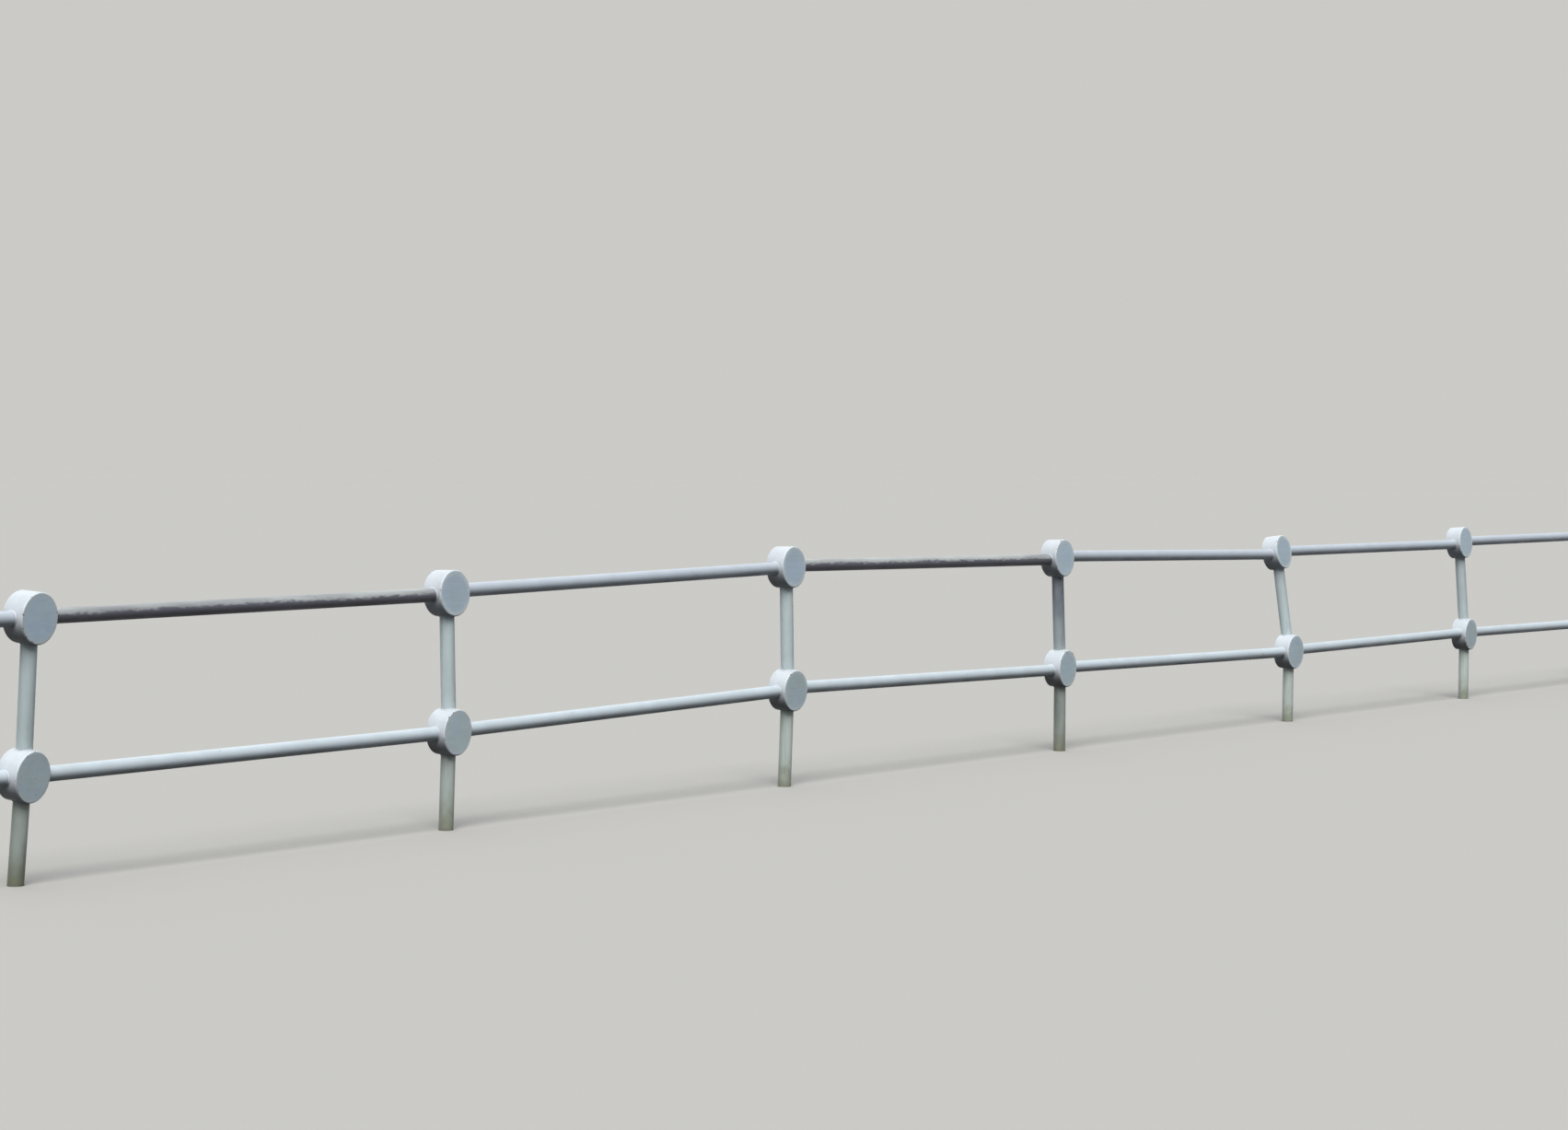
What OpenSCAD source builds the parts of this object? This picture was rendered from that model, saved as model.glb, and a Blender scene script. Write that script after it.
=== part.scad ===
// Roadside tube railing, six bays long, all dimensions in millimetres.
// Round posts carry two flat ended drums each, and round rails run from drum to drum.
// X runs along the row, Y points from the front to the back and Z points up.
// The origin is the middle of post 4's foot, at ground level.

/* [Row] */
// Number of bays between the first and the last post
bays = 6; // [1:1:6]
// Regular distance from post to post
bay = 2000; // [1500:50:2500]
// How far the cut rail ends reach past the end posts' centres
stub_reach = 250; // [150:10:400]

/* [Heights] */
// Centre of a lower drum above the ground on a post with no rise
lower_height = 345; // [250:5:450]
// Distance from a lower drum's centre to the upper one's, along the upper tube
drum_gap = 475; // [300:5:700]

/* [Drums] */
// Outside diameter of a drum
drum_d = 159; // [120:1:219]
// Length of a drum from face to face
drum_len = 80; // [70:1:120]
// Wall of the pipe that a drum's ring is cut from
drum_wall = 4.5; // [3:0.5:8]
// Thickness of the plate that closes each end of a drum
cap_t = 6; // [4:0.5:10]
// Radius ground on the rim of each end plate
cap_edge = 4.5; // [1:0.5:6]

/* [Tubes] */
// Outside diameter of the post tubes
post_d = 51; // [48:1:60]
// Wall of the post tubes
post_wall = 3.5; // [2.5:0.5:5]
// Outside diameter of the rails
rail_d = 48; // [33:1:51]
// Wall of the rails
rail_wall = 3.5; // [2.5:0.5:5]

/* [Settling] */
// How far each post stands off its regular mark along the row
post_shift = [42, -4, -24, 0, 71, -7, 0]; // [-100:1:100]
// How much higher each post's drums sit than the regular height
post_rise = [-11, -6, 29, 12, -11, -9, -10]; // [-40:1:40]
// Lean of each lower tube towards the front, in degrees
lower_lean = [6.2, 2.3, 2.3, 0.2, 0.7, 0.4, 1]; // [-10:0.1:10]
// Lean of each upper tube towards the front, in degrees
upper_lean = [4, -1.2, -1.1, -2, -8.2, -4, -1]; // [-10:0.1:10]
// Turn of each lower drum about its post, in degrees
lower_turn = [7.5, 4.5, 1.5, 4, 0.5, 3, 2]; // [-10:0.5:10]
// Turn of each upper drum about its post, in degrees
upper_turn = [5.5, 1.5, 1.5, 1.5, 2, 1.5, 2]; // [-10:0.5:10]

/* [Rails off centre] */
// Height above each lower drum's centre at which the rail from the bay before meets it
lower_in = [-3, -2, -1, -6, -2, 7, -8]; // [-15:1:15]
// Height above each lower drum's centre at which the next bay's rail leaves it
lower_out = [-3, 0, 7, 2, 5, 7, 4]; // [-15:1:15]
// The same for the upper drums, on the side of the bay before
upper_in = [-1, -4, -2, -6, -9, -8, 4]; // [-15:1:15]
// The same for the upper drums, on the side of the next bay
upper_out = [1, 6, 5, 8, 5, 6, 5]; // [-15:1:15]

/* [Hidden] */
POSTS = [1 : bays + 1];
BAYS = [1 : bays];

// The post that stands on the origin
origin_post = 4;
ring_len = drum_len - 2 * cap_t;
// Spare length that carries a cutting shape clear through what it cuts
spare = 1;
// Side of the block of ground that trims a leaning post's foot
ground_block = 4 * post_d;
$fn = 96;

// Where each post stands, and the centres of its drums
function foot_at(i) = [(i - origin_post) * bay + post_shift[i - 1], 0, 0];
function along(lean) = [0, -sin(lean), cos(lean)];
function lower_at(i) =
    foot_at(i) + (lower_height + post_rise[i - 1]) / cos(lower_lean[i - 1]) * along(lower_lean[i - 1]);
function upper_at(i) = lower_at(i) + drum_gap * along(upper_lean[i - 1]);
function raised(centre, rise) = centre + [0, 0, rise];

// Paint colours, cleaner on the drums than on the worn rails
drum_grey = [0.60, 0.67, 0.72];
cap_grey = [0.54, 0.61, 0.66];
post_grey = [0.66, 0.70, 0.70];
rail_grey = [0.72, 0.75, 0.78];
worn_grey = [0.50, 0.49, 0.48];
worn_bays = [1, 3];

// A straight tube whose bore runs from point a to point b
module tube(a, b, d, wall) {
    run = b - a;
    translate(a)
        rotate([0, acos(run.z / norm(run)), atan2(run.y, run.x)])
            difference() {
                cylinder(d = d, h = norm(run));
                translate([0, 0, -spare]) cylinder(d = d - 2 * wall, h = norm(run) + 2 * spare);
            }
}

// Sets a drum's own frame on its post, with the drum's axis along Y
module on_lower(i) {
    translate(lower_at(i)) rotate([lower_lean[i - 1], 0, 0]) rotate([0, 0, lower_turn[i - 1]]) children();
}

module on_upper(i) {
    translate(upper_at(i)) rotate([upper_lean[i - 1], 0, 0]) rotate([0, 0, upper_turn[i - 1]]) children();
}

// The space that a whole drum fills, which every tube end is coped to
module drum_space() {
    rotate([90, 0, 0]) cylinder(d = drum_d, h = drum_len, center = true);
}

// A slice of pipe, open at both ends until the caps close it
module drum_ring() {
    rotate([90, 0, 0]) difference() {
        cylinder(d = drum_d, h = ring_len, center = true);
        cylinder(d = drum_d - 2 * drum_wall, h = ring_len + 2 * spare, center = true);
    }
}

// An end plate lying on its inner face, with its outer rim rounded
module cap() {
    rotate_extrude() {
        square([drum_d / 2 - cap_edge, cap_t]);
        square([drum_d / 2, cap_t - cap_edge]);
        translate([drum_d / 2 - cap_edge, cap_t - cap_edge]) intersection() {
            circle(cap_edge);
            square(cap_edge);
        }
    }
}

module cap_pair() {
    for (side = [-1, 1]) rotate([side * 90, 0, 0]) translate([0, 0, ring_len / 2]) cap();
}

// Lower tube from the ground to the lower drum, upper tube from drum to drum
module post_tubes(i) {
    below = foot_at(i) - ground_block / 2 * along(lower_lean[i - 1]);
    color(post_grey) {
        difference() {
            tube(below, lower_at(i), post_d, post_wall);
            on_lower(i) drum_space();
            translate(foot_at(i) - [ground_block / 2, ground_block / 2, ground_block]) cube(ground_block);
        }
        difference() {
            tube(lower_at(i), upper_at(i), post_d, post_wall);
            on_lower(i) drum_space();
            on_upper(i) drum_space();
        }
    }
}

module lower_drum(i) {
    color(drum_grey) on_lower(i) drum_ring();
}

module upper_drum(i) {
    color(drum_grey) on_upper(i) drum_ring();
}

module drum_caps(i) {
    color(cap_grey) {
        on_lower(i) cap_pair();
        on_upper(i) cap_pair();
    }
}

// Rails of bay i, coped to the drums at both of their ends
module lower_rail(i) {
    color(rail_grey) difference() {
        tube(raised(lower_at(i), lower_out[i - 1]), raised(lower_at(i + 1), lower_in[i]), rail_d, rail_wall);
        on_lower(i) drum_space();
        on_lower(i + 1) drum_space();
    }
}

module upper_rail(i) {
    worn = len(search(i, worn_bays)) > 0;
    color(worn ? worn_grey : rail_grey) difference() {
        tube(raised(upper_at(i), upper_out[i - 1]), raised(upper_at(i + 1), upper_in[i]), rail_d, rail_wall);
        on_upper(i) drum_space();
        on_upper(i + 1) drum_space();
    }
}

// The neighbouring bays' rails, cut square a short way past end post i
module rail_stubs(i, side) {
    reach = [side * stub_reach, 0, 0];
    lower_start = raised(lower_at(i), side < 0 ? lower_in[i - 1] : lower_out[i - 1]);
    upper_start = raised(upper_at(i), side < 0 ? upper_in[i - 1] : upper_out[i - 1]);
    color(rail_grey) {
        difference() {
            tube(lower_start, lower_start + reach, rail_d, rail_wall);
            on_lower(i) drum_space();
        }
        difference() {
            tube(upper_start, upper_start + reach, rail_d, rail_wall);
            on_upper(i) drum_space();
        }
    }
}

for (i = POSTS) {
    post_tubes(i);
    lower_drum(i);
    upper_drum(i);
    drum_caps(i);
}
for (i = BAYS) {
    lower_rail(i);
    upper_rail(i);
}
rail_stubs(1, -1);  // start_rail_stubs
rail_stubs(bays + 1, 1);  // end_rail_stubs
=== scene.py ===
# %% [markdown]
# # A painted two rail tube railing
#
# The railing is seven round posts with two short drums on each, and round rails that run from
# drum to drum. It could all be modelled here, but its shapes come from the CAD frame and are
# exact, so they are used as they are. This lesson is about what Blender adds to them: a camera, a
# plain studio, the brushed paint and how it has weathered, and the weld beads that hold every
# tube to its drum. Every size is in metres.

# %% Load the frame
from math import atan2, cos, hypot, pi, radians, sin, sqrt

import bmesh
import bpy
from mathutils import Matrix, Vector


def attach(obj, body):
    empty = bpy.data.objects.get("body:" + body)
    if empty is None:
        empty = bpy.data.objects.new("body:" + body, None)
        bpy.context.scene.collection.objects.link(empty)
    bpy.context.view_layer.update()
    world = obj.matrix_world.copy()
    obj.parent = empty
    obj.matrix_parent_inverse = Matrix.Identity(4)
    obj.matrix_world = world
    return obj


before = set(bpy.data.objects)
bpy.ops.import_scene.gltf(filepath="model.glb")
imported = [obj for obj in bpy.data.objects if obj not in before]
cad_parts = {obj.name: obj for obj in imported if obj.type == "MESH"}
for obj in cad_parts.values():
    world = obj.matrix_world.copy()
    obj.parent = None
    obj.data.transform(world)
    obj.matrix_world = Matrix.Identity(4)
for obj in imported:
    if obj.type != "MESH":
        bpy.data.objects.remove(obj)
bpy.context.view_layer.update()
scene = bpy.context.scene
print("CAD nodes:", len(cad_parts))

# %% [markdown]
# ## Where the posts stand
#
# The posts of a real railing are set by hand, and they settle. Each one is a little off its two
# metre mark, its drums sit a little high or low, and its lower and upper tubes lean by
# different amounts, because they are joined at the lower drum. The paint and the welds must
# follow each tube. The tubes could be measured on the CAD meshes, but the figures that shaped
# them are known, so they are repeated here, in metres and degrees.

# %% The setting out
POSTS = range(1, 8)
BAY = 2.0
ORIGIN_POST = 4
LOWER_HEIGHT = 0.345
DRUM_GAP = 0.475
# For each post, how far it stands off its mark along the row and how much higher its drums sit
SHIFT = [0.042, -0.004, -0.024, 0.0, 0.071, -0.007, 0.0]
RISE = [-0.011, -0.006, 0.029, 0.012, -0.011, -0.009, -0.010]
# For each post, how far its tubes lean towards the front
LOWER_LEAN = [radians(a) for a in (6.2, 2.3, 2.3, 0.2, 0.7, 0.4, 1)]
UPPER_LEAN = [radians(a) for a in (4, -1.2, -1.1, -2, -8.2, -4, -1)]


def foot_at(post):
    """Where a post stands."""
    return Vector(((post - ORIGIN_POST) * BAY + SHIFT[post - 1], 0, 0))


def along(lean):
    """The direction of a tube that leans towards the front."""
    return Vector((0, -sin(lean), cos(lean)))


def lower_at(post):
    """The centre of a post's lower drum."""
    lean = LOWER_LEAN[post - 1]
    return foot_at(post) + along(lean) * (LOWER_HEIGHT + RISE[post - 1]) / cos(lean)


def upper_at(post):
    """The centre of a post's upper drum."""
    return lower_at(post) + along(UPPER_LEAN[post - 1]) * DRUM_GAP


for post in POSTS:
    print("post", post, "drums at", lower_at(post).to_tuple(3), upper_at(post).to_tuple(3))

# %% [markdown]
# ## The camera
#
# The photograph was taken from in front of the left end with a long lens, looking along the row
# at a shallow angle, so the far bays look short. A camera could be aimed by eye, but then the
# bays wouldn't shorten by the right amounts. So its place, its angles and its focal length
# were solved from where the drums' centres are in the picture. It is turned about Z by its yaw,
# tilted down a little and rolled very slightly. The floor reaches far, so the camera sees far too.

# %% Camera
PICTURE_WIDTH = 1703
FOCAL_PIXELS = 3983.1
SENSOR = 36.0
CAMERA_PLACE = (-13.487, -8.292, 1.353)
YAW = -54.106
TILT_DOWN = 2.009
ROLL = 0.140
FAR_SIGHT = 2000

camera_data = bpy.data.cameras.new("camera")
camera_data.sensor_width = SENSOR
camera_data.lens = FOCAL_PIXELS / PICTURE_WIDTH * SENSOR
camera_data.clip_end = FAR_SIGHT
camera = bpy.data.objects.new("camera", camera_data)
scene.collection.objects.link(camera)
camera.matrix_world = (
    Matrix.Translation(CAMERA_PLACE)
    @ Matrix.Rotation(radians(YAW), 4, "Z")
    @ Matrix.Rotation(radians(90 - TILT_DOWN), 4, "X")
    @ Matrix.Rotation(radians(ROLL), 4, "Z")
)
scene.camera = camera
print("lens:", round(camera_data.lens, 1), "mm, camera at", CAMERA_PLACE)

# %% [markdown]
# ## Helpers for shader nodes
#
# A finish such as old paint is a tree of nodes. In Blender's editor each node is added and linked
# by hand, and code that does the same line by line hides what the tree is for. A few small
# helpers keep the trees readable. `put` adds a node and fills its inputs, `calc` is one step of
# arithmetic, and `soft_step` turns a value into a mask that goes smoothly from 0 to 1.

# %% Nodes and masks
def put(tree, kind, inputs=None, **settings):
    """Adds a shader node. An input is a value or the socket that feeds it."""
    node = tree.nodes.new("ShaderNode" + kind)
    for name, value in settings.items():
        setattr(node, name, value)
    for key, value in (inputs or {}).items():
        if isinstance(value, bpy.types.NodeSocket):
            tree.links.new(value, node.inputs[key])
        else:
            node.inputs[key].default_value = value
    return node


def calc(tree, operation, a, b=0.0, clamp=False):
    """One step of arithmetic. With clamp its result is kept between 0 and 1."""
    node = put(tree, "Math", {0: a, 1: b}, operation=operation, use_clamp=clamp)
    return node.outputs[0]


def soft_step(tree, value, start, end):
    """A mask that is 0 until value is start, and 1 once it is end, which may be the lower of the two."""
    inputs = {"Value": value, "From Min": start, "From Max": end}
    return put(tree, "MapRange", inputs, interpolation_type="SMOOTHSTEP").outputs["Result"]


def z_of(tree, vector):
    """How high a position is, or how far up a direction points."""
    return put(tree, "SeparateXYZ", {0: vector}).outputs["Z"]


print("made put, calc, soft_step and z_of")

# %% [markdown]
# The next helpers are sums that come up again and again. `between` turns a mask into a value
# between two numbers, `weighted_sum` adds up patterns by their shares, and `mix` goes from one
# colour, value or position to another. Blender's Mix node has other sockets for each of these,
# and the wrong ones fail without a word, so their numbers are looked up in one place.

# %% Sums and mixtures
# For each kind of Mix node, the numbers of its A, B and result sockets
MIX_SOCKETS = {"FLOAT": (2, 3, 0), "VECTOR": (4, 5, 1), "RGBA": (6, 7, 2)}


def times(tree, value, *others, clamp=False):
    """Multiplies values. With clamp the product is kept between 0 and 1."""
    for other in others:
        value = calc(tree, "MULTIPLY", value, other, clamp)
    return value


def between(tree, low, high, mask):
    """Goes from one number to another as mask goes from 0 to 1."""
    return calc(tree, "ADD", times(tree, mask, high - low), low)


def weighted_sum(tree, values, shares):
    """Adds up values, each times its share."""
    parts = [times(tree, value, share) for value, share in zip(values, shares)]
    total = parts[0]
    for part in parts[1:]:
        total = calc(tree, "ADD", total, part)
    return total


def mix(tree, share, a, b, kind="RGBA"):
    """Goes from a to b as share goes from 0 to 1. They are colours unless kind says otherwise."""
    first, second, result = MIX_SOCKETS[kind]
    return put(tree, "Mix", {0: share, first: a, second: b}, data_type=kind).outputs[result]


print("made times, between, weighted_sum and mix, for", sorted(MIX_SOCKETS))

# %% [markdown]
# Paint is never even, so most patterns here start from noise. It could be a picture, but noise
# has no seams and never repeats. One number for its scale gives round clouds. Three numbers draw
# them out: the smallest one is the direction in which they are long. `sway` takes a noise, which
# lies about one half, and makes it a push to either side of zero.

# %% Patterns
def noise(tree, place, scale, detail):
    """Cloudy noise. Scale is how many clouds fit in a metre, one number or one each for X, Y and Z."""
    if isinstance(scale, tuple):
        place = put(tree, "VectorMath", {0: place, 1: scale}, operation="MULTIPLY").outputs["Vector"]
        scale = 1.0
    inputs = {"Vector": place, "Scale": scale, "Detail": detail}
    return put(tree, "TexNoise", inputs).outputs["Fac"]


def sway(tree, pattern, spread):
    """Makes a pattern that lies about 0.5 lie about 0, times its spread."""
    return times(tree, calc(tree, "SUBTRACT", pattern, 0.5), spread)


print("made noise and sway")

# %% [markdown]
# Colours are easiest to read off a picture in the 0 to 255 of a picture editor, but nodes
# count light, which is linear. They could be converted by hand, but a helper keeps the numbers
# in the script the ones that were read.

# %% Colours
def srgb(red, green, blue):
    """A colour as a picture editor shows it, 0 to 255, turned into the linear one that nodes use."""
    def linear(level):
        level /= 255
        return level / 12.92 if level <= 0.04045 else ((level + 0.055) / 1.055) ** 2.4
    return (linear(red), linear(green), linear(blue), 1.0)


print("a middle grey, 128, gives", round(srgb(128, 128, 128)[0], 3), "of the light of white")

# %% [markdown]
# An effect that several paints share is a node group. It could be copied into each material, but
# a group is built once and then placed in each of them with its own values, and its sockets
# have names that say what goes in and what comes out.

# %% Groups
def new_group(name, inputs, outputs):
    """A shader node group with named sockets. Returns its tree and what it is given."""
    tree = bpy.data.node_groups.new(name, "ShaderNodeTree")
    for label, kind in inputs.items():
        tree.interface.new_socket(name=label, in_out="INPUT", socket_type="NodeSocket" + kind)
    for label, kind in outputs.items():
        tree.interface.new_socket(name=label, in_out="OUTPUT", socket_type="NodeSocket" + kind)
    return tree, tree.nodes.new("NodeGroupInput").outputs


def finish_group(tree, results):
    """Links a group's results to its outputs."""
    out = tree.nodes.new("NodeGroupOutput")
    for label, socket in results.items():
        tree.links.new(socket, out.inputs[label])
    print("group:", tree.name, "with", len(tree.nodes), "nodes")


def use_group(tree, group, inputs):
    """Places a group in a tree with its own values, and returns what it gives."""
    return put(tree, "Group", inputs, node_tree=group).outputs


print("made new_group, finish_group and use_group")

# %% [markdown]
# ## The studio
#
# Outdoors the railing stands under a wide pale sky, and little light comes back from below.
# So its tops are bright, its upright faces are half as bright and its undersides
# are dark. A ring of area lamps could copy that, but a world that is brightest overhead and
# dim near the horizon does it with a few nodes, and lights every bay alike. What the camera and
# reflections see of it is one plain colour instead, the one that the floor comes out as.

# %% World
BACKDROP = srgb(203, 202, 199)
SKY_COLOUR = (0.94, 1.0, 1.06, 1.0)
SKY_AT_HORIZON = 0.14
SKY_OVERHEAD = 1.00


def seen_directly(tree):
    """1 for rays from the camera and for what shows in gloss or glass, 0 for light that bounces."""
    path = put(tree, "LightPath")
    seen = calc(tree, "MAXIMUM", path.outputs["Is Camera Ray"], path.outputs["Is Glossy Ray"])
    return calc(tree, "MAXIMUM", seen, path.outputs["Is Transmission Ray"])


world = bpy.data.worlds.new("studio")
scene.world = world
world.use_nodes = True
sky = world.node_tree
sky.nodes.clear()
direction = put(sky, "TexCoord").outputs["Generated"]
upward = calc(sky, "MAXIMUM", z_of(sky, direction), 0.0)
overhead = times(sky, upward, upward, SKY_OVERHEAD)
strength = calc(sky, "ADD", overhead, SKY_AT_HORIZON)
lighting = put(sky, "Background", {"Color": SKY_COLOUR, "Strength": strength})
backdrop = put(sky, "Background", {"Color": BACKDROP, "Strength": 1.0})
choice = put(sky, "MixShader", {0: seen_directly(sky), 1: lighting.outputs[0], 2: backdrop.outputs[0]})
put(sky, "OutputWorld", {"Surface": choice.outputs[0]})
print("world:", world.name, "with", len(sky.nodes), "nodes")

# %% [markdown]
# A soft sun from the upper left rounds the drums and posts, and two very wide fills, low in front
# and behind, lift the upright faces. Area lamps would light the near bays more than the
# far ones, and a sun lamp lights the whole row alike. Its width is the angle that it fills as
# seen from the railing: the wider it is, the softer its shadows. A strength of 1 here lights a
# white surface that faces the lamp to white, which Blender counts as pi.

# %% Lamps
WARM = (1.0, 0.985, 0.965)
PLAIN = (1.0, 1.0, 1.0)


def add_sun(name, from_where, strength, colour, width):
    """A sun lamp that shines from a direction, as wide as width in degrees."""
    lamp = bpy.data.lights.new(name, "SUN")
    lamp.energy = strength * pi
    lamp.color = colour
    lamp.angle = radians(width)
    holder = bpy.data.objects.new(name, lamp)
    holder.rotation_euler = Vector(from_where).to_track_quat("Z", "Y").to_euler()
    scene.collection.objects.link(holder)
    print(name, "strength", strength, "width", width)


add_sun("key", from_where=(-0.50, -0.335, 0.80), strength=0.95, colour=WARM, width=32)
add_sun("front fill", from_where=(-0.40, -0.91, 0.10), strength=0.05, colour=PLAIN, width=70)
add_sun("back fill", from_where=(0.50, 0.84, 0.20), strength=0.30, colour=PLAIN, width=70)

# %% [markdown]
# The railing needs something to stand on and to throw its shadow on. A plane would do, but a
# plane's corners are further away than its sides, and a disc ends at the same distance all
# round.

# %% Floor
FLOOR_RADIUS = 300
FLOOR_SEGMENTS = 128

disc = bmesh.new()
bmesh.ops.create_circle(disc, cap_ends=True, segments=FLOOR_SEGMENTS, radius=FLOOR_RADIUS)
floor_mesh = bpy.data.meshes.new("floor")
disc.to_mesh(floor_mesh)
disc.free()
floor = bpy.data.objects.new("floor", floor_mesh)
scene.collection.objects.link(floor)
print("floor radius:", FLOOR_RADIUS)

# %% [markdown]
# The floor is matt, pale to the camera and in reflections, but dark to the light that bounces
# off it, which keeps the undersides as dark as they are outdoors. Far from the railing it
# fades out into the backdrop's colour, so no horizon line is left behind the rails. A curved
# backdrop would hide that line from one side only. This fade is a mask on the distance from
# the middle of the disc, so it is the same from every side.

# %% Floor paint
FLOOR_PALE = srgb(172, 170, 166)
FLOOR_DARK = (0.02, 0.02, 0.02, 1.0)
FADE_START, FADE_END = 22.0, 160.0

floor_paint = bpy.data.materials.new("floor")
floor_paint.use_nodes = True
tree = floor_paint.node_tree
tree.nodes.clear()
place = put(tree, "TexCoord").outputs["Object"]
distance = put(tree, "VectorMath", {0: place}, operation="LENGTH").outputs["Value"]
fade = soft_step(tree, distance, FADE_START, FADE_END)
tone = mix(tree, seen_directly(tree), FLOOR_DARK, FLOOR_PALE)
matt = put(tree, "BsdfDiffuse", {"Color": tone})
clear = put(tree, "BsdfTransparent")
surface = put(tree, "MixShader", {0: fade, 1: matt.outputs[0], 2: clear.outputs[0]})
put(tree, "OutputMaterial", {"Surface": surface.outputs[0]})
floor_mesh.materials.append(floor_paint)
scene.view_settings.view_transform = "Standard"
print("floor fades out from", FADE_START, "to", FADE_END)

# %% [markdown]
# ## Brushed paint
#
# The whole railing is painted by hand with a light grey oil paint. Brush marks run along each
# tube: long fine streaks that catch the light. Under them are thicker and thinner clouds of
# paint. A picture of brushed paint would stretch on round tubes, so the marks are noise, drawn
# out along the stroke. The group takes a position whose X runs along the stroke, so one
# group serves posts, rails and drums. It gives a colour, a roughness and a height for bump.

# %% Brushed paint group
LONG_MARKS = (7, 120, 120)
FINE_MARKS = (25, 420, 420)
LUMPS = 85.0
CLOUDS = 1.7
BLOTCHES = 16.0
TONE_SHARES = (0.30, 0.38, 0.32)
HEIGHT_SHARES = (0.35, 0.12, 0.53)
SMOOTHEST, ROUGHEST = 0.36, 0.58

brushed, given = new_group(
    "brushed paint",
    {"Stroke Position": "Vector", "Paint": "Color", "Unevenness": "Float"},
    {"Color": "Color", "Roughness": "Float", "Height": "Float"},
)
stroke = given["Stroke Position"]
long_marks = noise(brushed, stroke, LONG_MARKS, detail=2.0)
fine_marks = noise(brushed, stroke, FINE_MARKS, detail=1.0)
lumps = noise(brushed, stroke, LUMPS, detail=2.0)
clouds = noise(brushed, stroke, CLOUDS, detail=2.0)
blotches = noise(brushed, stroke, BLOTCHES, detail=3.0)
tone = weighted_sum(brushed, (clouds, blotches, long_marks), TONE_SHARES)
brightness = calc(brushed, "ADD", sway(brushed, tone, given["Unevenness"]), 1.0)
toned = put(brushed, "HueSaturation", {"Value": brightness, "Color": given["Paint"]})
finish_group(brushed, {
    "Color": toned.outputs["Color"],
    "Roughness": between(brushed, SMOOTHEST, ROUGHEST, blotches),
    "Height": weighted_sum(brushed, (long_marks, fine_marks, lumps), HEIGHT_SHARES),
})

# %% [markdown]
# ## Weathering
#
# Soot and dirt settle on the paint, and rust breaks through it. They could be painted on by hand,
# but seven posts and twelve rails ask for rules that find the right places by themselves. One
# group holds three such rules, and each paint says how much it has of each. The first darkens
# undersides: it is painted shade, and partly soot where rain never washes. The surface's normal
# says how far down it faces, and a noise thins the darkening in patches.

# %% Weathering group: soot and painted shade underneath
# Painted shade on the undersides, partly soot: the further down a spot faces, the darker it gets.
SOOT_AND_SHADE = srgb(86, 80, 78)
SOOT_AND_SHADE_PATCHES = 7.0
THINNEST_SOOT_AND_SHADE = 0.5

weathered, given = new_group(
    "weathering",
    {
        "Position": "Vector", "Color": "Color", "Roughness": "Float", "Height": "Float",
        "Soot And Shade": "Float", "Corner Shade And Dirt": "Float", "Rust": "Float",
    },
    {"Color": "Color", "Roughness": "Float", "Height": "Float"},
)
place = given["Position"]
facing_up = z_of(weathered, put(weathered, "NewGeometry").outputs["Normal"])
under = soft_step(weathered, facing_up, start=0.15, end=-0.85)
patches = noise(weathered, place, SOOT_AND_SHADE_PATCHES, detail=3.0)
patches = soft_step(weathered, patches, start=0.30, end=0.72)
thickness = between(weathered, THINNEST_SOOT_AND_SHADE, 1.0, patches)
soot_and_shade = times(weathered, under, thickness, given["Soot And Shade"], clamp=True)
print("soot:", len(weathered.nodes), "nodes so far")

# %% [markdown]
# The second rule darkens corners where a tube meets a drum. This is painted shade, and partly
# dirt where the brush and the rain don't reach. The distance to each joint could be worked out,
# but an ambient occlusion node finds every corner on its own. It says how open the space round
# a spot is: 1 on a free surface, and less near another one.

# %% Weathering group: painted shade and dirt in corners
# Painted shade in the corners where tubes meet drums, partly dirt. The same grey also colours the posts'
# rain streaks.
CORNER_DIRT_AND_SHADE = srgb(74, 74, 70)
CORNER_REACH = 0.025

shelter = put(weathered, "AmbientOcclusion", {"Distance": CORNER_REACH}, samples=8).outputs["AO"]
corner = soft_step(weathered, shelter, start=0.85, end=0.35)
corner = times(weathered, corner, given["Corner Shade And Dirt"], clamp=True)
print("corner dirt:", len(weathered.nodes), "nodes so far")

# %% [markdown]
# The third rule is for rust. It breaks through in small spots where the paint is thin, and it
# seeps out of the corners. Spots modelled one by one would be too many, so they are the peaks of
# a fine noise. In a corner more of that noise counts as a peak, and a broad noise says in which
# fields there is rust at all.

# %% Weathering group: rust
RUST = srgb(112, 66, 42)
RUST_GRAIN = 85.0
RUST_FIELDS = 5.0

grain = noise(weathered, place, RUST_GRAIN, detail=4.0)
specks = soft_step(weathered, grain, start=0.66, end=0.74)
cracked = soft_step(weathered, shelter, start=0.80, end=0.45)
seeping = times(weathered, cracked, soft_step(weathered, grain, start=0.48, end=0.60))
spots = calc(weathered, "MAXIMUM", specks, seeping)
fields = noise(weathered, place, RUST_FIELDS, detail=1.0)
fields = soft_step(weathered, fields, start=0.46, end=0.62)
rust = times(weathered, spots, fields, given["Rust"], clamp=True)
print("rust:", len(weathered.nodes), "nodes so far")

# %% [markdown]
# The three masks now colour the paint one after the other, rust last, because it shows through
# the dirt and the painted shade. All three are rougher than paint, and a spot of rust is
# slightly sunk, because the flake of paint over it is gone. A second shader could do this, but
# changing the roughness and the height of the first one gives the same look and exports better.

# %% Weathering group: result
DIRT_AND_SHADE_ROUGHNESS = 0.35
RUST_DEPTH = 0.8

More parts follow.
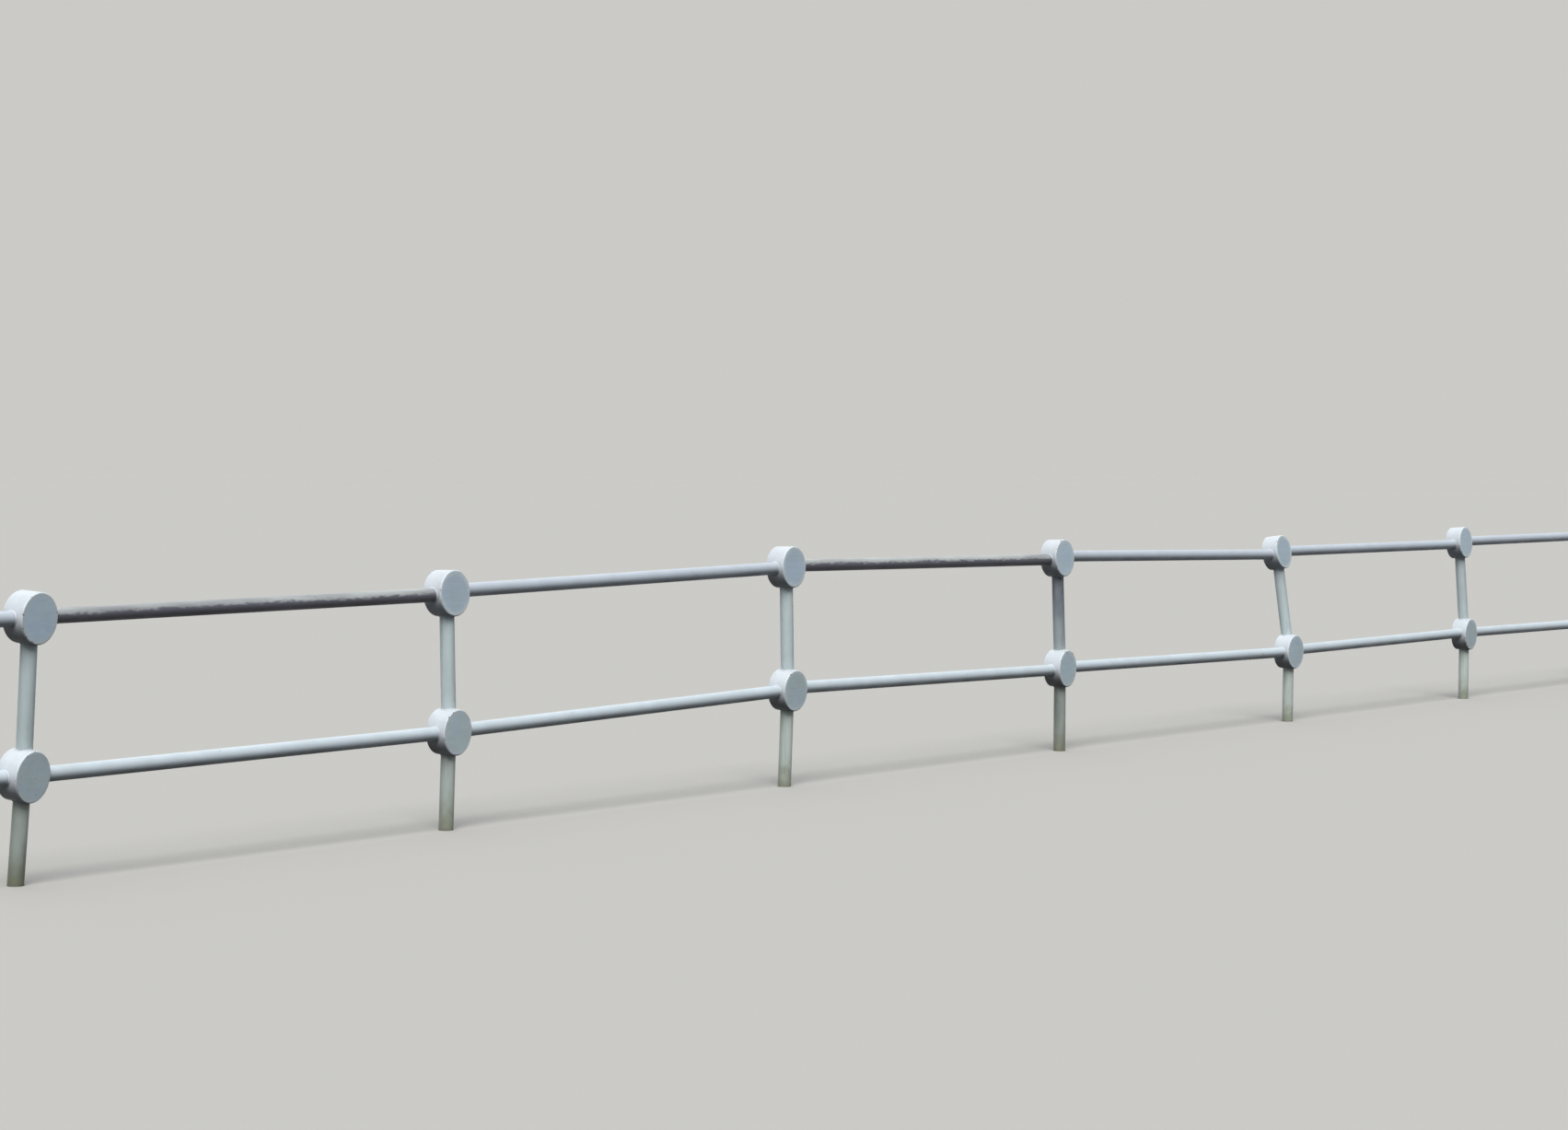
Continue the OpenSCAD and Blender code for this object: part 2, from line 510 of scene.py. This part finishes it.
colour = mix(weathered, soot_and_shade, given["Color"], SOOT_AND_SHADE)
colour = mix(weathered, corner, colour, CORNER_DIRT_AND_SHADE)
colour = mix(weathered, rust, colour, RUST)
dirt_and_shade = calc(weathered, "MAXIMUM", calc(weathered, "MAXIMUM", soot_and_shade, corner), rust)
rough = calc(weathered, "ADD", given["Roughness"], times(weathered, dirt_and_shade, DIRT_AND_SHADE_ROUGHNESS), clamp=True)
height = calc(weathered, "SUBTRACT", given["Height"], times(weathered, rust, RUST_DEPTH))
finish_group(weathered, {"Color": colour, "Roughness": rough, "Height": height})

# %% [markdown]
# ## Finishing a material
#
# Every paint on the railing ends the same way. It is weathered, a Principled shader takes its
# colour and roughness, and a Bump node turns its height into dents of a few tenths of a
# millimetre. Real displacement would need millions of faces for dents that are too fine to
# show in an outline. The sheen of old oil paint is the same all over, so it is a plain number
# on the shader itself.

# %% Paint finish
PAINT_DEPTH = 0.0003
PAINT_SHEEN = 0.30


def new_paint(name):
    """An empty material and its tree."""
    material = bpy.data.materials.new(name)
    material.use_nodes = True
    material.node_tree.nodes.clear()
    return material, material.node_tree


def finish_paint(tree, place, colour, coat, soot_and_shade, corner_shade_and_dirt, rust):
    """Weathers a brushed coat in its final colour, and gives it to the material's shader."""
    worn = use_group(tree, weathered, {
        "Position": place, "Color": colour, "Roughness": coat["Roughness"], "Height": coat["Height"],
        "Soot And Shade": soot_and_shade, "Corner Shade And Dirt": corner_shade_and_dirt, "Rust": rust,
    })
    bump = put(tree, "Bump", {"Strength": 1.0, "Distance": PAINT_DEPTH, "Height": worn["Height"]})
    shader = put(tree, "BsdfPrincipled", {
        "Base Color": worn["Color"], "Roughness": worn["Roughness"],
        "Specular IOR Level": PAINT_SHEEN, "Normal": bump.outputs["Normal"],
    })
    put(tree, "OutputMaterial", {"Surface": shader.outputs[0]})


def dress(name, material):
    """Gives a CAD node its material, in the one slot that it has."""
    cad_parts[name].material_slots[0].material = material


print("most slots on a CAD node:", max(len(node.material_slots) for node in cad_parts.values()))

# %% [markdown]
# ## Rails
#
# Rails run along X, so their brush marks do too and the object's own position will serve as the
# stroke's. The upper rails are a little darker than the lower ones. They could have a material
# each, but it is the same paint, so one material looks at how high a spot is and takes its
# grey from that.

# %% Rail paint
LOWER_RAIL_GREY = srgb(194, 205, 212)
UPPER_RAIL_GREY = srgb(182, 191, 201)
LEVELS_MEET = LOWER_HEIGHT + DRUM_GAP / 2

rail_paint, tree = new_paint("rail_paint")
place = put(tree, "TexCoord").outputs["Object"]
is_upper = calc(tree, "GREATER_THAN", z_of(tree, place), LEVELS_MEET)
grey = mix(tree, is_upper, LOWER_RAIL_GREY, UPPER_RAIL_GREY)
coat = use_group(tree, brushed, {"Stroke Position": place, "Paint": grey, "Unevenness": 0.45})
finish_paint(tree, place, coat["Color"], coat, soot_and_shade=0.45, corner_shade_and_dirt=0.6, rust=0.5)
print("rail paint:", len(tree.nodes), "nodes")

# %% [markdown]
# Two of the upper rails lost their top coat. They are a dull grey, lighter on top where rain
# washes them and much darker underneath, with a ragged line between. A plain mask on the
# normal would draw that line dead straight. Here the normal's Z is pushed to and fro first, by
# a broad and a fine noise that are both long along the rail, and a third one dulls the light
# part in patches.

# %% Worn rail paint
WORN_LIGHT = srgb(173, 177, 177)
WORN_DARK = srgb(98, 99, 110)
BROAD_RAGS = (7, 30, 30)
FINE_RAGS = (35, 140, 140)
DULL_PATCHES = (2.5, 14, 14)
DULLEST = 0.5

worn_rail_paint, tree = new_paint("worn_rail_paint")
place = put(tree, "TexCoord").outputs["Object"]
facing_up = z_of(tree, put(tree, "NewGeometry").outputs["Normal"])
broad = sway(tree, noise(tree, place, BROAD_RAGS, detail=4.0), spread=0.7)
fine = sway(tree, noise(tree, place, FINE_RAGS, detail=4.0), spread=1.1)
ragged = calc(tree, "ADD", calc(tree, "ADD", facing_up, broad), fine)
washed = soft_step(tree, ragged, start=0.02, end=0.50)
clean = soft_step(tree, noise(tree, place, DULL_PATCHES, detail=4.0), start=0.30, end=0.62)
light = times(tree, washed, between(tree, DULLEST, 1.0, clean))
old_coat = mix(tree, light, WORN_DARK, WORN_LIGHT)
coat = use_group(tree, brushed, {"Stroke Position": place, "Paint": old_coat, "Unevenness": 0.5})
finish_paint(tree, place, coat["Color"], coat, soot_and_shade=0.50, corner_shade_and_dirt=0.6, rust=1.0)
print("worn rail paint:", len(tree.nodes), "nodes")

# %% [markdown]
# Each bay has a lower and an upper rail, and the next bays' rails are cut off as stubs at both
# ends. The materials could be dragged onto them in the editor, but the CAD nodes are named by
# bay, so a loop finds them all. Only the upper rails of two bays are worn.

# %% Paint the rails
BAYS = range(1, 7)
WORN_BAYS = (1, 3)

for bay in BAYS:
    dress(f"bay_{bay}_lower_rail", rail_paint)
    dress(f"bay_{bay}_upper_rail", worn_rail_paint if bay in WORN_BAYS else rail_paint)
for stubs in ("start_rail_stubs", "end_rail_stubs"):
    dress(stubs, rail_paint)
print("rails painted in", len(BAYS), "bays, worn in", WORN_BAYS)

# %% [markdown]
# ## Posts
#
# Some of the posts' tubes were repainted lately, and others wear a film of old grime. Rain
# draws faint streaks down them, and the first hand's width above the foot is stained by
# splashes, whose green is partly painted light bounced from grass. These stains could be part
# of the weathering, but only posts have them, so they are a group of their own. The film's
# clouds and the streaks are noises that are long along Z. The splashes are a mask on the
# height, and a noise makes their upper edge uneven.

# %% Post stains group
# The splash stain near the foot, its green partly painted grass light.
SPLASH_AND_GRASS_LIGHT = srgb(132, 134, 108)
FILM_CLOUDS = (14, 14, 5.0)
THINNEST_FILM, THICKEST_FILM = 0.75, 1.25
STREAKS = (95, 95, 3.0)
STREAK_STRENGTH = 0.20
SPLASH_EDGE = 30.0
SPLASH_REACH = 0.14
SPLASH_STRENGTH = 0.7

stains, given = new_group(
    "post stains",
    {"Position": "Vector", "Color": "Color", "Grime": "Color", "Grime And Shade Share": "Float"},
    {"Color": "Color"},
)
place = given["Position"]
film = soft_step(stains, noise(stains, place, FILM_CLOUDS, detail=3.0), start=0.25, end=0.70)
film = between(stains, THINNEST_FILM, THICKEST_FILM, film)
# The share also holds painted shade under the upper drums of posts 5 and 6.
film = times(stains, film, given["Grime And Shade Share"], clamp=True)
streaks = soft_step(stains, noise(stains, place, STREAKS, detail=3.0), start=0.54, end=0.74)
reach = times(stains, noise(stains, place, SPLASH_EDGE, detail=4.0), SPLASH_REACH)
above_splashes = calc(stains, "SUBTRACT", z_of(stains, place), reach)
splashed = soft_step(stains, above_splashes, start=0.05, end=-0.07)
colour = mix(stains, film, given["Color"], given["Grime"])
colour = mix(stains, times(stains, streaks, STREAK_STRENGTH), colour, CORNER_DIRT_AND_SHADE)
colour = mix(stains, times(stains, splashed, SPLASH_STRENGTH), colour, SPLASH_AND_GRASS_LIGHT)
finish_group(stains, {"Color": colour})

# %% [markdown]
# How grimy a tube is changes along it, so each tube has a share of grime for its foot, its
# middle and its head; on some upper tubes the head's share is painted shade under the drum. A
# colour ramp could run through the three, but its stops can't be set from outside a group, and
# the values of a Map Range node can. One such node runs from the foot's share to the middle's,
# and a second one adds what is still missing at the head.

# %% Grime share group
def ramp(tree, level, start, end, first, last):
    """Goes from first to last as level goes from start to end."""
    inputs = {"Value": level, "From Min": start, "From Max": end, "To Min": first, "To Max": last}
    return put(tree, "MapRange", inputs).outputs["Result"]


grime_share, given = new_group(
    "grime share",
    {label: "Float" for label in ("Level", "Start", "End", "Foot", "Middle", "Head")},
    {"Share": "Float"},
)
half_way = weighted_sum(grime_share, (given["Start"], given["End"]), (0.5, 0.5))
still_missing = calc(grime_share, "SUBTRACT", given["Head"], given["Middle"])
below = ramp(grime_share, given["Level"], given["Start"], half_way, given["Foot"], given["Middle"])
above = ramp(grime_share, given["Level"], half_way, given["End"], 0.0, still_missing)
finish_group(grime_share, {"Share": calc(grime_share, "ADD", below, above)})

# %% [markdown]
# The shares were read off the photograph, and post 7's are a guess, because it isn't in the
# picture. They could be drawn at random, but which tubes are grimy is part of how this
# railing looks: post 1 is darkest at its foot, and post 4 is grimy nearly all the way up. With
# the group, all that a tube needs is its three shares and the two levels that it runs between.

# %% How grimy each tube is, and where shade is painted on
LOWER_SHARES = [
    (1.0, 0.42, 0.04), (0.46, 0.20, 0.08), (0.25, 0.05, 0.0), (0.68, 0.68, 0.70),
    (0.10, 0.06, 0.06), (0.03, 0.0, 0.0), (0.2, 0.1, 0.1),
]
# The heads' shares on posts 5 and 6 are mostly painted shade under their upper drums, not grime.
UPPER_GRIME_AND_SHADE_SHARES = [
    (0.15, 0.08, 0.0), (0.10, 0.05, 0.0), (0.10, 0.06, 0.05), (0.14, 0.82, 0.80),
    (0.05, 0.10, 0.45), (0.10, 0.22, 0.45), (0.1, 0.1, 0.1),
]


def share_along(tree, level, start, end, shares):
    """The share of grime on a tube that runs from one level to another."""
    foot, middle, head = shares
    placed = use_group(tree, grime_share, {
        "Level": level, "Start": start, "End": end, "Foot": foot, "Middle": middle, "Head": head,
    })
    return placed["Share"]


print("grimiest feet, by post:", sorted(POSTS, key=lambda post: -LOWER_SHARES[post - 1][0])[:3])

# %% [markdown]
# Posts are brushed up and down, so a Mapping node turns the position until the brush's X points
# up. Their lower tubes have a green tinge, which is partly a film and partly painted green light
# bounced from grass. All posts could share one material if their shares of grime were stored on
# their meshes, but a CAD mesh is never changed. So each post has its own material, in which the
# groups get that post's own values.

# %% Post paint
# The lower tubes' grey is tinted green: partly a film, partly painted grass light.
LOWER_POST_GREY_AND_GRASS_LIGHT = srgb(201, 212, 205)
UPPER_POST_GREY = srgb(195, 209, 211)
LOWER_GRIME = srgb(106, 112, 107)
UPPER_GRIME = srgb(104, 110, 119)


def post_paint_for(post):
    """The paint of one post's two tubes."""
    material, tree = new_paint(f"post_{post}_paint")
    place = put(tree, "TexCoord").outputs["Object"]
    level = z_of(tree, place)
    lower, upper = lower_at(post).z, upper_at(post).z
    is_upper = calc(tree, "GREATER_THAN", level, lower)
    grey = mix(tree, is_upper, LOWER_POST_GREY_AND_GRASS_LIGHT, UPPER_POST_GREY)
    upright = put(tree, "Mapping", {"Vector": place, "Rotation": (0, radians(90), 0)}).outputs[0]
    coat = use_group(tree, brushed, {"Stroke Position": upright, "Paint": grey, "Unevenness": 0.5})
    lower_share = share_along(tree, level, 0.0, lower, LOWER_SHARES[post - 1])
    upper_grime_and_shade = share_along(tree, level, lower, upper, UPPER_GRIME_AND_SHADE_SHARES[post - 1])
    stained = use_group(tree, stains, {
        "Position": place, "Color": coat["Color"],
        "Grime": mix(tree, is_upper, LOWER_GRIME, UPPER_GRIME),
        "Grime And Shade Share": mix(tree, is_upper, lower_share, upper_grime_and_shade, "FLOAT"),
    })
    finish_paint(tree, place, stained["Color"], coat, soot_and_shade=0.3, corner_shade_and_dirt=0.25, rust=0.6)
    return material


for post in POSTS:
    dress(f"post_{post}_tubes", post_paint_for(post))
print("posts painted:", len(POSTS))

# %% [markdown]
# ## Drums
#
# A drum's flat faces are given other greys than its round side, as painted light: sky light
# and grass light, and a painted highlight near the rim. Its rim is also chipped. All this goes
# by the distance from the drum's axis and from its middle, so the group takes a second
# position, seen from the drum, whose Y runs along its axis. The rim could be found by its sharp
# bend with a Bevel node, but that one is slow and can't tell a drum's rim from a tube's end.

# %% Drum colours group: distances
DRUM_RADIUS = 0.0795
DRUM_LENGTH = 0.080
FACE_EDGE = (DRUM_LENGTH / 2 - 0.007, DRUM_LENGTH / 2 - 0.002)

drum_colours, given = new_group(
    "drum colours",
    {"Position": "Vector", "Drum Position": "Vector", "Face Light": "Float", "Blueness": "Float"},
    {"Paint": "Color", "Chips": "Float"},
)
place = given["Position"]
split = put(drum_colours, "SeparateXYZ", {0: given["Drum Position"]}).outputs
flat = put(drum_colours, "CombineXYZ", {"X": split["X"], "Z": split["Z"]}).outputs[0]
from_axis = put(drum_colours, "VectorMath", {0: flat}, operation="LENGTH").outputs["Value"]
from_middle = calc(drum_colours, "ABSOLUTE", split["Y"])
near_face = soft_step(drum_colours, from_middle, *FACE_EDGE)
print("distances:", len(drum_colours.nodes), "nodes so far")

# %% [markdown]
# The flat faces are mottled, with painted light: blue sky light on the upper drums, green grass
# light on the lower ones, and a painted highlight that whitens them near the rim. A gradient
# texture could paint that highlight, but its ring would be as even as a target's. Adding a
# little noise to the distance from the axis makes it wander, and another noise mixes the green
# and the blue.

# %% Drum colours group: flat faces, with painted light
# DRUM_GREY is the round side's paint. The face colours after it are painted light: green grass light,
# blue sky light, and a painted highlight at the rim.
DRUM_GREY = srgb(198, 204, 210)
FACE_GRASS_LIGHT_GREEN = srgb(189, 206, 210)
FACE_SKY_LIGHT_BLUE = srgb(186, 205, 222)
RIM_HIGHLIGHT_GREY = srgb(207, 218, 224)
MOTTLES = 14.0
RIM_CLOUDS = 28.0

mottle = sway(drum_colours, noise(drum_colours, place, MOTTLES, detail=3.0), spread=2.2)
blueness = calc(drum_colours, "ADD", given["Blueness"], mottle, clamp=True)
face = mix(drum_colours, blueness, FACE_GRASS_LIGHT_GREEN, FACE_SKY_LIGHT_BLUE)
# Painted light: each drum's faces are made lighter or darker by that drum's own factor.
face = put(drum_colours, "HueSaturation", {"Value": given["Face Light"], "Color": face}).outputs[0]
uneven = sway(drum_colours, noise(drum_colours, place, RIM_CLOUDS, detail=4.0), spread=0.030)
wandering = calc(drum_colours, "ADD", from_axis, uneven)
# Painted highlight: the faces turn whiter towards the rim.
rim_highlight = soft_step(drum_colours, wandering, start=0.060, end=0.074)
face = mix(drum_colours, rim_highlight, face, RIM_HIGHLIGHT_GREY)
paint = mix(drum_colours, near_face, DRUM_GREY, face)
print("flat faces:", len(drum_colours.nodes), "nodes so far")

# %% [markdown]
# On the rim itself the paint is thin, and chips show rust. The chips are the peaks of a fine
# noise, kept only where the mask of the rim and the mask of the flat face overlap. They could
# be dents in the mesh, but a few millimetres across and as thin as paint, they show only by
# their colour.

# %% Drum colours group: chips on the rim
CHIP_GRAIN = 70.0
CHIP_STRENGTH = 0.8
RIM_EDGE = (DRUM_RADIUS - 0.010, DRUM_RADIUS - 0.002)

rim = soft_step(drum_colours, from_axis, *RIM_EDGE)
edge = times(drum_colours, rim, near_face)
chips = soft_step(drum_colours, noise(drum_colours, place, CHIP_GRAIN, detail=5.0), start=0.60, end=0.66)
chips = times(drum_colours, chips, edge, CHIP_STRENGTH)
finish_group(drum_colours, {"Paint": paint, "Chips": chips})

# %% [markdown]
# Each drum sits at its own place, tilted with its tube and turned about it a little. A pattern
# that follows the drum could read its coordinates from a helper object at the drum's centre,
# but the export would lose that. A Mapping node does the same and is kept: it brings the
# position to the drum's seat.

# %% Drum seats
LOWER_TURN = [radians(a) for a in (7.5, 4.5, 1.5, 4, 0.5, 3, 2)]
UPPER_TURN = [radians(a) for a in (5.5, 1.5, 1.5, 1.5, 2, 1.5, 2)]


def drum_seats(post):
    """Where a post's lower and upper drums sit. A seat's Y is its drum's axis, from front to back."""
    turned = (
        (lower_at(post), LOWER_LEAN[post - 1], LOWER_TURN[post - 1]),
        (upper_at(post), UPPER_LEAN[post - 1], UPPER_TURN[post - 1]),
    )
    return [
        Matrix.Translation(centre) @ Matrix.Rotation(lean, 4, "X") @ Matrix.Rotation(turn, 4, "Z")
        for centre, lean, turn in turned
    ]


def seen_from(tree, place, seat):
    """A position as it is seen from a seat."""
    back = seat.inverted()
    inputs = {"Vector": place, "Location": back.to_translation(), "Rotation": back.to_euler()}
    return put(tree, "Mapping", inputs, vector_type="POINT").outputs[0]


print("post 1's upper drum faces", (-drum_seats(1)[1].col[1].xyz).to_tuple(3))

# %% [markdown]
# A drum's brush marks run level across its flat faces, along the row. Each drum's faces are
# also made lighter or darker, by as much as a fifth: painted light that makes up for how the
# lamps light each tilted face. As with the posts, one material for all drums would need each
# drum's own values on its mesh. So each post has one material for its two drums, which takes
# the lower or the upper one's values by height.

# %% Drum paint
# Painted light on each drum's flat faces, lower and upper, by post: a factor on their brightness for how
# the lamps light each tilted face.
LOWER_FACE_LIGHT = [1.14, 1.10, 0.98, 0.99, 0.95, 0.92, 0.96]
UPPER_FACE_LIGHT = [1.18, 0.98, 1.00, 1.08, 0.85, 0.97, 0.97]
# How much painted sky light, against painted grass light, the lower and upper drums' faces show.
LOWER_BLUENESS = 0.25
UPPER_BLUENESS = 0.75


def drum_paint_for(post):
    """The paint of one post's two drums."""
    material, tree = new_paint(f"post_{post}_drum_paint")
    place = put(tree, "TexCoord").outputs["Object"]
    from_lower, from_upper = [seen_from(tree, place, seat) for seat in drum_seats(post)]
    half_way = (lower_at(post).z + upper_at(post).z) / 2
    is_upper = calc(tree, "GREATER_THAN", z_of(tree, place), half_way)
    drum = use_group(tree, drum_colours, {
        "Position": place,
        "Drum Position": mix(tree, is_upper, from_lower, from_upper, "VECTOR"),
        "Face Light": mix(tree, is_upper, LOWER_FACE_LIGHT[post - 1], UPPER_FACE_LIGHT[post - 1], "FLOAT"),
        "Blueness": mix(tree, is_upper, LOWER_BLUENESS, UPPER_BLUENESS, "FLOAT"),
    })
    coat = use_group(tree, brushed, {"Stroke Position": place, "Paint": drum["Paint"], "Unevenness": 0.6})
    colour = mix(tree, drum["Chips"], coat["Color"], RUST)
    finish_paint(tree, place, colour, coat, soot_and_shade=0.60, corner_shade_and_dirt=0.7, rust=0.5)
    return material


drum_paint = {post: drum_paint_for(post) for post in POSTS}
for post in POSTS:
    for piece in ("lower_drum", "upper_drum", "drum_caps"):
        dress(f"post_{post}_{piece}", drum_paint[post])
print("drums painted:", 2 * len(POSTS))

# %% [markdown]
# ## Weld beads
#
# Every tube is welded to its drum all the way round, and the bead follows the saddle where two
# round pipes meet. It could be a curve with a bevel, but a curve turns its section as it goes
# round such a path, and a spin keeps it even. A small circle is stood up beside the tube's axis
# and spun about it into a ring.
#
# The spin leaves every face of the ring pointing outwards. The cell below prints the volume
# that the ring encloses, which would be negative if it were inside out.

# %% Spin a ring of weld
BEAD_RADIUS = 0.0050
BEAD_SECTION = 8
BEAD_STEPS = 192


def spin_ring(tube_radius):
    """A bmesh with a plain ring of weld round a tube that stands along Z."""
    ring = bmesh.new()
    made = bmesh.ops.create_circle(ring, segments=BEAD_SECTION, radius=BEAD_RADIUS)
    beside = Matrix.Translation((tube_radius, 0, 0)) @ Matrix.Rotation(radians(90), 4, "X")
    bmesh.ops.transform(ring, matrix=beside, verts=made["verts"])
    bmesh.ops.spin(ring, geom=ring.verts[:] + ring.edges[:], cent=(0, 0, 0), axis=(0, 0, 1),
                   angle=2 * pi, steps=BEAD_STEPS, use_merge=True, use_duplicate=False)
    return ring


plain = spin_ring(tube_radius=0.024)
print("a plain ring encloses", round(plain.calc_volume(signed=True) * 1e9), "cubic millimetres")
plain.free()

# %% [markdown]
# The ring must bend to the saddle where a tube meets the round wall of its drum. A Shrinkwrap
# modifier could push it onto the drum, but that would flatten its section. A line along the
# tube meets the wall where a quadratic says, so this helper works out that height for any
# spot beside the tube's axis.

# %% The height of a saddle
def saddle_height(start, tube_axis, drum_line):
    """How far along tube_axis a line from start meets the drum. Both are seen from its centre."""
    across = start - drum_line * start.dot(drum_line)
    step = tube_axis - drum_line * tube_axis.dot(drum_line)
    a = step.dot(step)
    b = 2 * across.dot(step)
    c = across.dot(across) - DRUM_RADIUS * DRUM_RADIUS
    return (-b + sqrt(b * b - 4 * a * c)) / (2 * a)


top = saddle_height(Vector((0, 0, 0)), Vector((0, 0, 1)), Vector((0, 1, 0)))
print("a tube's axis meets its drum", round(top, 4), "from the drum's centre")

# %% [markdown]
# A bead laid by hand is never even. Its thickness ripples finely, drop by drop, and swells slowly a
# few times on its way round. Noise could do that too, but two sine waves close up on
# themselves where the ring ends, if a whole number of them goes round.

# %% How thick a bead is
RIPPLE = 0.00006
RIPPLE_PITCH = 0.0042
SWELL = 0.0004
SWELLS = 3


def thickness_at(turn, tube_radius, phase):
    """How thick a bead is at a turn about its tube, where 1 is its plain thickness."""
    ripples = round(2 * pi * tube_radius / RIPPLE_PITCH)
    uneven = RIPPLE * sin(ripples * turn + phase) + SWELL * sin(SWELLS * turn + 2 * phase)
    return 1 + uneven / BEAD_RADIUS


print("a bead's thickness varies by", round((RIPPLE + SWELL) / BEAD_RADIUS * 100, 1), "percent")

# %% [markdown]
# Now the plain ring becomes the bead. It is set round its tube, sunk a little into the two walls so
# that no gap shows, and each vertex slides along the tube until it lies on the saddle. The
# section could be swept along the saddle from the start, but sliding keeps every ring's faces
# in the neat rows that the spin gave them, and turns none of them over. So the facing is left
# alone: recalc_face_normals can turn bent rings like these inside out.

# %% Lay a ring on its saddle
BEAD_SINK = 0.0014


def lay_ring(ring, centre, rise, tube_axis, drum_line, tube_radius, phase):
    """Lays a ring round a tube whose axis starts a rise above the drum's centre."""
    tube_axis = tube_axis.normalized()
    side = (drum_line - tube_axis * drum_line.dot(tube_axis)).normalized()
    tube_frame = Matrix((side, tube_axis.cross(side), tube_axis)).transposed()
    for vert in ring.verts:
        turn = atan2(vert.co.y, vert.co.x)
        thickness = thickness_at(turn, tube_radius, phase)
        outwards = (hypot(vert.co.x, vert.co.y) - tube_radius) * thickness
        reach = tube_radius - BEAD_SINK + outwards
        start = Vector((0, 0, rise)) + tube_frame @ Vector((reach * cos(turn), reach * sin(turn), 0))
        height = saddle_height(start, tube_axis, drum_line) - BEAD_SINK + vert.co.z * thickness
        vert.co = centre + start + tube_axis * height


print("a bead stands", BEAD_RADIUS - BEAD_SINK, "proud of its tube")

# %% [markdown]
# Rails were welded on by hand too, a few millimetres above or below the drums' centres. A
# rail's bead needs that height and the rail's direction. Both could be measured on the rail's
# mesh, but as with the posts, the figures that shaped it are known. They are heights above
# the drum's centre, for the rail that comes in from the bay before and for the one that goes out.
# The cut stubs at both ends run straight along X.

# %% Where the rails meet the drums
LOWER_IN = [-0.003, -0.002, -0.001, -0.006, -0.002, 0.007, -0.008]
LOWER_OUT = [-0.003, 0.0, 0.007, 0.002, 0.005, 0.007, 0.004]
UPPER_IN = [-0.001, -0.004, -0.002, -0.006, -0.009, -0.008, 0.004]
UPPER_OUT = [0.001, 0.006, 0.005, 0.008, 0.005, 0.006, 0.005]


def rail_joint(centre_at, rise_in, rise_out, post, side):
    """Where a drum's rail on one side starts, seen from the drum: its rise and its direction."""
    rise = (rise_in if side < 0 else rise_out)[post - 1]
    if post + side not in POSTS:
        return rise, Vector((side, 0, 0))
    far_rise = (rise_out if side < 0 else rise_in)[post + side - 1]
    return rise, centre_at(post + side) - centre_at(post) + Vector((0, 0, far_rise - rise))


rise, direction = rail_joint(upper_at, UPPER_IN, UPPER_OUT, post=1, side=1)
print("bay 1's upper rail starts", rise, "above centre and runs", round(direction.length, 3), "on")

# %% [markdown]
# A post has seven joints: four on the lower drum, where a tube or a rail comes in from every
# side, and three on the upper one. They could be found by testing which meshes touch, but a
# short list says the same and is easier to check.

# %% The joints of a post
POST_RADIUS = 0.0255
RAIL_RADIUS = 0.024


def joints_of(post):
    """Each joint's drum centre, rise, tube direction, drum axis and tube radius."""
    lower, upper = lower_at(post), upper_at(post)
    lower_line, upper_line = [seat.col[1].xyz for seat in drum_seats(post)]
    joints = [
        (lower, 0, -along(LOWER_LEAN[post - 1]), lower_line, POST_RADIUS),
        (lower, 0, along(UPPER_LEAN[post - 1]), lower_line, POST_RADIUS),
        (upper, 0, -along(UPPER_LEAN[post - 1]), upper_line, POST_RADIUS),
    ]
    for side in (-1, 1):
        rise, direction = rail_joint(lower_at, LOWER_IN, LOWER_OUT, post, side)
        joints.append((lower, rise, direction, lower_line, RAIL_RADIUS))
        rise, direction = rail_joint(upper_at, UPPER_IN, UPPER_OUT, post, side)
        joints.append((upper, rise, direction, upper_line, RAIL_RADIUS))
    return joints


print("joints on a post:", len(joints_of(1)))

# %% [markdown]
# Each bead could be an object, but the seven on a post never move apart, so they are joined
# into one piece that rides on the railing and wears its post's drum paint. Each starts its
# ripples at another phase, so no two look alike.

# %% The welds of each post
PHASE_STEP = 1.7


def join(target, ring):
    """Adds a ring to the bmesh that gathers a post's beads."""
    scrap = bpy.data.meshes.new("ring")
    ring.to_mesh(scrap)
    ring.free()
    target.from_mesh(scrap)
    bpy.data.meshes.remove(scrap)


for post in POSTS:
    beads = bmesh.new()
    for number, (centre, rise, direction, line, tube_radius) in enumerate(joints_of(post)):
        ring = spin_ring(tube_radius)
        lay_ring(ring, centre, rise, direction, line, tube_radius, phase=PHASE_STEP * number + post)
        join(beads, ring)
    mesh = bpy.data.meshes.new(f"post_{post}_welds")
    beads.to_mesh(mesh)
    beads.free()
    mesh.polygons.foreach_set("use_smooth", [True] * len(mesh.polygons))
    mesh.materials.append(drum_paint[post])
    welds = bpy.data.objects.new(f"post_{post}_welds", mesh)
    scene.collection.objects.link(welds)
    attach(welds, "root")
    print(welds.name, "faces:", len(mesh.polygons))
